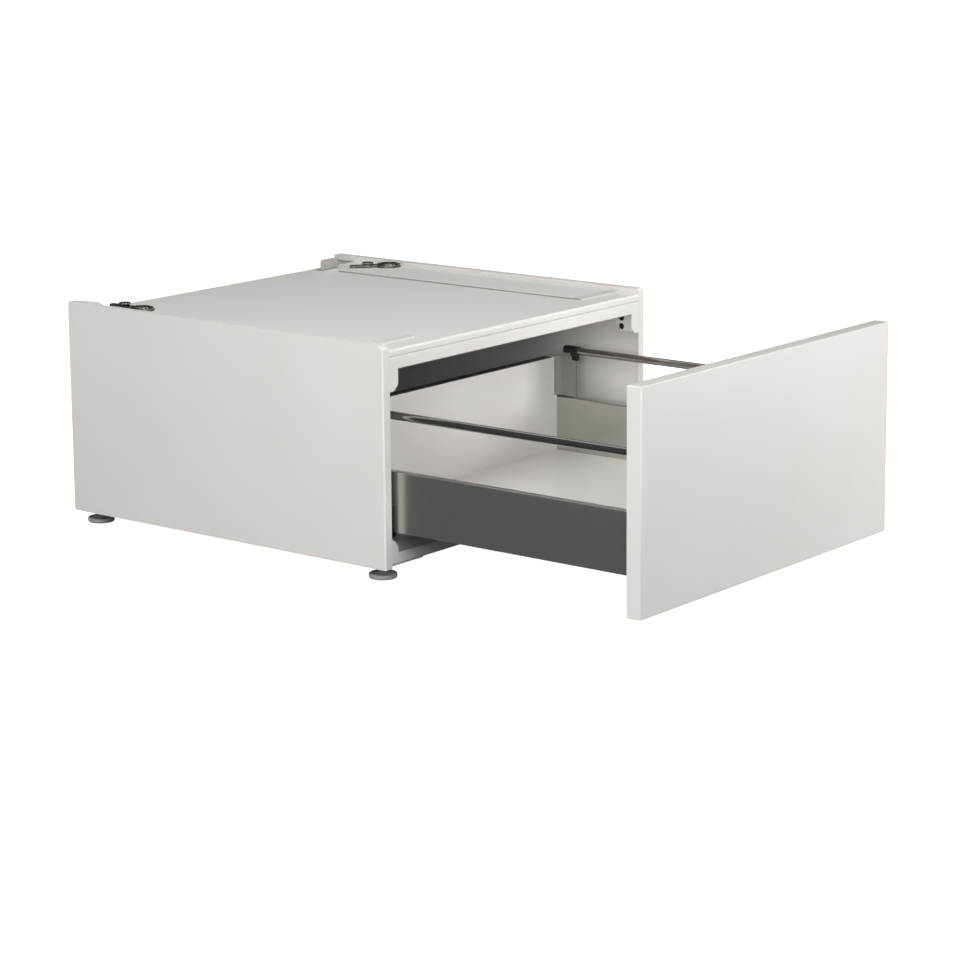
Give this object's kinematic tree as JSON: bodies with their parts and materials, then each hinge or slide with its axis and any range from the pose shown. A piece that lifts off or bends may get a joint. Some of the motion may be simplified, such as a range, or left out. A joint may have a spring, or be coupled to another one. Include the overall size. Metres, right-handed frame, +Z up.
{
  "type": "laundry pedestal",
  "caption": "Folded sheet-steel pedestal for a laundry machine, with a pull-out drawer on ball runners, gallery rails, foot clamps and screw feet.",
  "frame": {"origin": "middle of the footprint with the drawer open, on the floor under the feet", "axes": "+X to the right, +Y from the drawer front to the cabinet's back, +Z up"},
  "size_m": [0.596, 1.019, 0.3357],
  "materials": {
    "white_coat": "fine satin powder coat",
    "drawer_coat": "semi-gloss white enamel",
    "grey_coat": "silver metallic lacquer",
    "zinc_plate": "zinc plated",
    "steel_balls": "polished",
    "dark_chrome": "polished black nickel",
    "black_plastic": "moulded, matt",
    "grey_plastic": "moulded, matt"
  },
  "bodies": {
    "cabinet": {"side_panel_left": "white_coat", "side_panel_right": "white_coat", "top_plate": "white_coat", "foot_track_left": "white_coat", "foot_track_right": "white_coat", "front_rail_upper": "white_coat", "front_rail_lower": "white_coat", "rear_rail_lower": "white_coat", "rear_panel": "white_coat", "rear_panel_screws": "zinc_plate", "foot_plates": "white_coat", "foot_bushes": "zinc_plate", "lock_nuts": "zinc_plate", "runner_support_left": "zinc_plate", "runner_support_right": "zinc_plate", "cabinet_runner_left": "zinc_plate", "cabinet_runner_right": "zinc_plate", "runner_screws": "zinc_plate", "clamp_ring_left": "dark_chrome", "clamp_ring_right": "dark_chrome", "stop_tab": "white_coat"},
    "drawer": {"drawer_runner_left": "zinc_plate", "drawer_runner_right": "zinc_plate", "drawer_side_left": "grey_coat", "drawer_side_right": "grey_coat", "drawer_floor": "drawer_coat", "drawer_back": "drawer_coat", "drawer_front": "white_coat", "drawer_front_cover": "white_coat", "front_bracket_left": "zinc_plate", "front_bracket_right": "zinc_plate", "bracket_screws": "zinc_plate", "gallery_rail_left": "dark_chrome", "gallery_rail_right": "dark_chrome", "rail_holder_left": "black_plastic", "rail_holder_right": "black_plastic", "rail_cup_left": "black_plastic", "rail_cup_right": "black_plastic"},
    "cage_left": {"ball_cage_left": "black_plastic", "runner_balls_left": "steel_balls"},
    "cage_right": {"ball_cage_right": "black_plastic", "runner_balls_right": "steel_balls"},
    "foot_front_left": {"foot_pad_front_left": "grey_plastic", "foot_stem_front_left": "zinc_plate"},
    "foot_front_right": {"foot_pad_front_right": "grey_plastic", "foot_stem_front_right": "zinc_plate"},
    "foot_rear_left": {"foot_pad_rear_left": "grey_plastic", "foot_stem_rear_left": "zinc_plate"},
    "foot_rear_right": {"foot_pad_rear_right": "grey_plastic", "foot_stem_rear_right": "zinc_plate"},
    "arm_left": {"clamp_arm_left": "dark_chrome"},
    "arm_right": {"clamp_arm_right": "dark_chrome"},
    "knob_left": {"clamp_knob_left": "dark_chrome"},
    "knob_right": {"clamp_knob_right": "dark_chrome"}
  },
  "joints": [
    {"name": "drawer_slide", "type": "slide", "parent": "cabinet", "child": "drawer", "axis": [0, 1, 0], "range_m": [0, 0.395]},
    {"name": "cage_left_slide", "type": "slide", "parent": "cabinet", "child": "cage_left", "axis": [0, 1, 0], "range_m": [0, 0.1975]},
    {"name": "cage_right_slide", "type": "slide", "parent": "cabinet", "child": "cage_right", "axis": [0, 1, 0], "range_m": [0, 0.1975]},
    {"name": "foot_front_left_screw", "type": "slide", "parent": "cabinet", "child": "foot_front_left", "axis": [0, 0, -1], "range_m": [0, 0.015]},
    {"name": "foot_front_right_screw", "type": "slide", "parent": "cabinet", "child": "foot_front_right", "axis": [0, 0, -1], "range_m": [0, 0.015]},
    {"name": "foot_rear_left_screw", "type": "slide", "parent": "cabinet", "child": "foot_rear_left", "axis": [0, 0, -1], "range_m": [0, 0.015]},
    {"name": "foot_rear_right_screw", "type": "slide", "parent": "cabinet", "child": "foot_rear_right", "axis": [0, 0, -1], "range_m": [0, 0.015]},
    {"name": "arm_left_pivot", "type": "hinge", "parent": "cabinet", "child": "arm_left", "pos_m": [-0.262, 0.3955, 0.324], "axis": [0, 0, 1], "range_deg": [-175, 0]},
    {"name": "arm_right_pivot", "type": "hinge", "parent": "cabinet", "child": "arm_right", "pos_m": [0.262, 0.3755, 0.324], "axis": [0, 0, 1], "range_deg": [-51, 124]},
    {"name": "knob_left_turn", "type": "hinge", "parent": "arm_left", "child": "knob_left", "pos_m": [-0.262, 0.4285, 0.324], "axis": [0, 0, 1], "continuous": true},
    {"name": "knob_right_turn", "type": "hinge", "parent": "arm_right", "child": "knob_right", "pos_m": [0.23635, 0.39627, 0.324], "axis": [0, 0, 1], "continuous": true}
  ],
  "couplings": [
    {"joint": "cage_left_slide", "follows": "drawer_slide", "ratio": 0.5},
    {"joint": "cage_right_slide", "follows": "drawer_slide", "ratio": 0.5}
  ]
}
